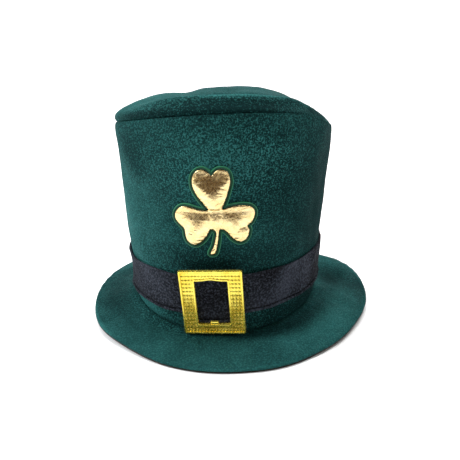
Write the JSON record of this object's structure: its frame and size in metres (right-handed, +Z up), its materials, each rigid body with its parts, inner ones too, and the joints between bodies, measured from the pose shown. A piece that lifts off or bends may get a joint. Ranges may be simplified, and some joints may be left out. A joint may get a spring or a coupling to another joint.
{
  "type": "leprechaun hat",
  "caption": "Tall flared velour costume hat with a soft puffed top, a curved brim, a black band with a gold buckle, and a padded gold shamrock on its front.",
  "frame": {"origin": "on the surface that the hat rests on, under the middle of the brim", "axes": "+Z up through the crown, front of the hat with its buckle towards -Y, +X to the right seen from the front"},
  "size_m": [0.2864, 0.2864, 0.2276],
  "materials": {
    "green_velour": "bottle green brushed velour with a soft nap",
    "black_velour": "black brushed velour",
    "dark_lining": "thin dark brown lining cloth",
    "gold_plastic": "gold plated plastic, bright and glossy",
    "green_satin": "green satin stitching",
    "gold_lame": "padded mirror-like gold foil cloth"
  },
  "bodies": {
    "root": {"crown_wall": "green_velour", "crown_tip": "green_velour", "brim": "green_velour", "brim_lining": "dark_lining", "hat_band": "black_velour", "buckle": "gold_plastic", "shamrock_border": "green_satin", "shamrock_leaf": "gold_lame"}
  },
  "joints": []
}
